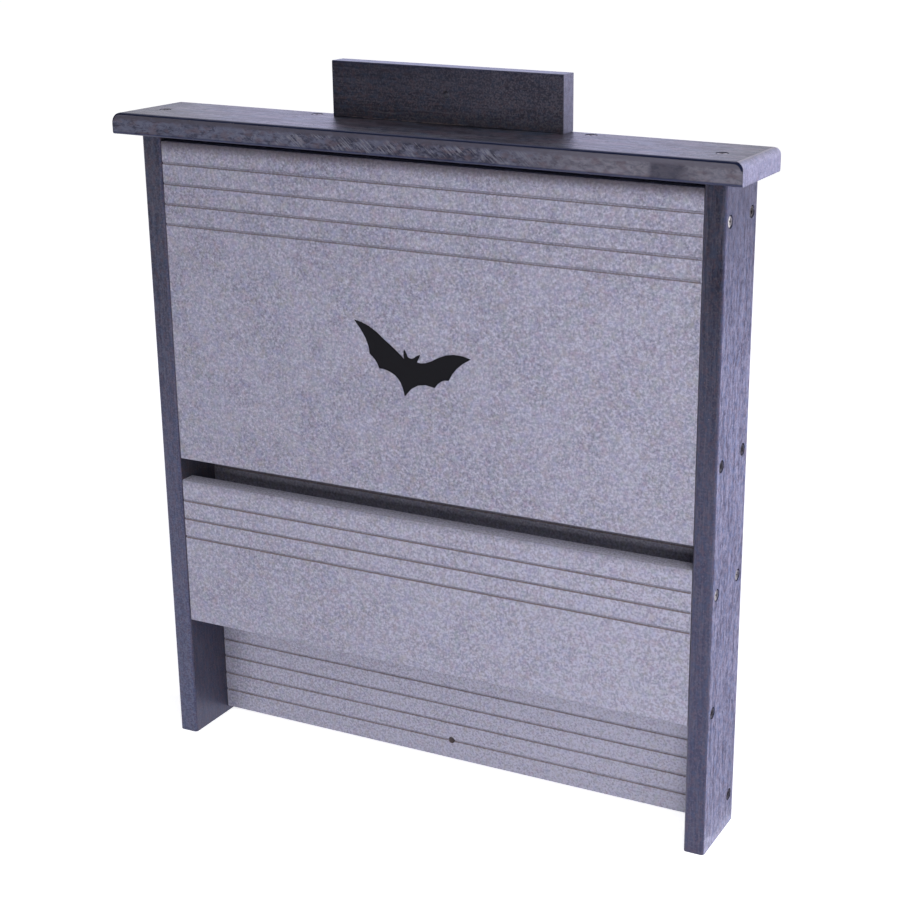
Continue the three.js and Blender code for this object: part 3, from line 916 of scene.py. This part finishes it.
def steel_finish(node):
    """Dulled steel with turning marks about the screw, dark stains, and a painted glint of bright steel on
    its front half.
    """
    graph = Graph(f"{node}_steel")
    low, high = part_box(node)
    centre = (low + high) / 2
    place = graph.place()
    away = graph.distance(place, tuple(centre))
    rings = graph.noise(graph.vector(graph.times(away, RING_SCALE), 0.0, 0.0), detail=3)
    spots = graph.noise(place, SPOT_SCALE, detail=3, roughness=0.65)
    colour = graph.layered({"rings": rings, "spots": spots}, STEEL_DARK, STEEL_LAYERS)
    behind = graph.math("SUBTRACT", graph.parts(place)[1], centre.y)
    glint_strength = GLINTING_SCREWS.get(node, PLAIN_GLINT)
    glint_share = graph.times(graph.step(behind, GLINT_BLEND, -GLINT_BLEND), glint_strength)
    graph.set(
        Base_Color=graph.mix(glint_share, colour, STEEL_GLINT),
        Metallic=1 - GLINT_DULLNESS * glint_strength,
        Roughness=graph.step(spots, **STEEL_ROUGHNESS),
        Normal=graph.bump(graph.plus(rings, spots), STEEL_BUMP),
    )
    return graph.material


def dress(node, material):
    """Gives a CAD node its finish."""
    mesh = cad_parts[node].data
    mesh.materials.clear()
    mesh.materials.append(material)


def dress_box():
    for node, looks in BOARD_LOOKS.items():
        dress(node, board_finish(node, **looks))
    for node, looks in PANEL_LOOKS.items():
        dress(node, panel_finish(node, **looks))
    dress("bat_emblem", film_finish("emblem_film"))
    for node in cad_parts:
        if "_screw" in node:
            dress(node, steel_finish(node))


def turned_to(place, target):
    """The matrix of a camera or lamp that stands at a place and looks at the target."""
    place = Vector(place)
    aim = (Vector(target) - place).to_track_quat("-Z", "Y")
    return Matrix.Translation(place) @ aim.to_matrix().to_4x4()


def add_camera():
    camera = bpy.data.cameras.new("photo_camera")
    camera.sensor_width = SENSOR_WIDTH
    camera.lens = LENS
    camera.shift_x = SHIFT_X
    eye = bpy.data.objects.new("photo_camera", camera)
    roll = Matrix.Rotation(math.radians(ROLL_DEGREES), 4, "Z")
    eye.matrix_world = turned_to(EYE, LOOK_AT) @ roll
    bpy.context.scene.collection.objects.link(eye)
    bpy.context.scene.camera = eye


def background_share(tree):
    """1 for rays of the camera, mirror reflections and clear glass, and 0 for those that light the box."""
    path = tree.nodes.new("ShaderNodeLightPath")
    share = path.outputs["Is Camera Ray"]
    for ray in ("Is Glossy Ray", "Is Transmission Ray"):
        either = tree.nodes.new("ShaderNodeMath")
        either.operation = "MAXIMUM"
        tree.links.new(share, either.inputs[0])
        tree.links.new(path.outputs[ray], either.inputs[1])
        share = either.outputs[0]
    return share


def add_world():
    """Even light from all round, in front of a white background."""
    world = bpy.data.worlds.new("studio")
    world.use_nodes = True
    bpy.context.scene.world = world
    tree = world.node_tree
    light = tree.nodes["Background"]
    light.inputs["Color"].default_value = (*WORLD_LIGHT, 1)
    light.inputs["Strength"].default_value = WORLD_STRENGTH
    white = tree.nodes.new("ShaderNodeBackground")
    white.inputs["Color"].default_value = (*WHITE, 1)
    white.inputs["Strength"].default_value = 1
    mixed = tree.nodes.new("ShaderNodeMixShader")
    tree.links.new(background_share(tree), mixed.inputs[0])
    tree.links.new(light.outputs[0], mixed.inputs[1])
    tree.links.new(white.outputs[0], mixed.inputs[2])
    tree.links.new(mixed.outputs[0], tree.nodes["World Output"].inputs["Surface"])


def add_sheet(name, corners, material):
    """A flat four-cornered sheet."""
    mesh = bpy.data.meshes.new(name)
    mesh.from_pydata(corners, [], [(0, 1, 2, 3)])
    mesh.materials.append(material)
    sheet = bpy.data.objects.new(name, mesh)
    bpy.context.scene.collection.objects.link(sheet)
    return sheet


def add_floor():
    """A pale floor that fades into the white background and keeps the box's soft shadow."""
    half = FLOOR_SIZE / 2
    corners = [(-half, -half, 0), (half, -half, 0), (half, half, 0), (-half, half, 0)]
    paper = Graph("floor_paper")
    away = paper.distance(paper.place())
    glow = paper.step(away, FLOOR_NEAR, FLOOR_FAR, FLOOR_GLOW_NEAR, FLOOR_GLOW_FAR)
    paper.set(
        Base_Color=FLOOR_COLOUR,
        Roughness=1,
        Specular_IOR_Level=0,
        Emission_Color=WHITE,
        Emission_Strength=paper.times(background_share(paper.tree), glow),
    )
    floor = add_sheet("studio_floor", corners, paper.material)


def add_card(name, corners, colour):
    """A sheet of cloth in the studio that only mirror reflections show."""
    cloth = Graph(f"{name}_cloth")
    cloth.set(Base_Color=colour, Roughness=1, Specular_IOR_Level=0)
    card = add_sheet(name, corners, cloth.material)
    card.visible_camera = False
    card.visible_diffuse = False
    card.visible_shadow = False
    card.visible_transmission = False


def add_cards():
    """The studio's unlit side behind the camera, and a dimmer stretch of floor at the box's right."""
    half = DIM_SIDE_WIDTH / 2
    side = [(-half, 0), (half, 0), (half, DIM_SIDE_HEIGHT), (-half, DIM_SIDE_HEIGHT)]
    add_card("studio_dim_side", [(x, DIM_SIDE_PLACE, z) for x, z in side], DIM_SIDE_COLOUR)
    left, right = DIM_FLOOR_LEFT, DIM_FLOOR_LEFT + DIM_FLOOR_SIZE
    floor = [(left, 0), (right, 0), (right, DIM_FLOOR_SIZE), (left, DIM_FLOOR_SIZE)]
    add_card("studio_dim_floor", [(x, y, DIM_FLOOR_RISE) for x, y in floor], DIM_FLOOR_COLOUR)


def add_lamp(name, place, target, size, power, colour=WHITE, mirrored=False):
    """A square soft lamp that faces the target, and shows in mirror reflections only where mirrored."""
    lamp = bpy.data.lights.new(name, "AREA")
    lamp.shape = "SQUARE"
    lamp.size = size
    lamp.energy = power
    lamp.color = colour
    holder = bpy.data.objects.new(name, lamp)
    holder.matrix_world = turned_to(place, target)
    holder.visible_camera = False
    holder.visible_glossy = mirrored
    bpy.context.scene.collection.objects.link(holder)


add_camera()
add_world()
add_floor()
add_cards()
for lamp_name, lamp_settings in LAMPS.items():
    add_lamp(lamp_name, **lamp_settings)
dress_box()

bpy.context.scene.view_settings.view_transform = "Standard"
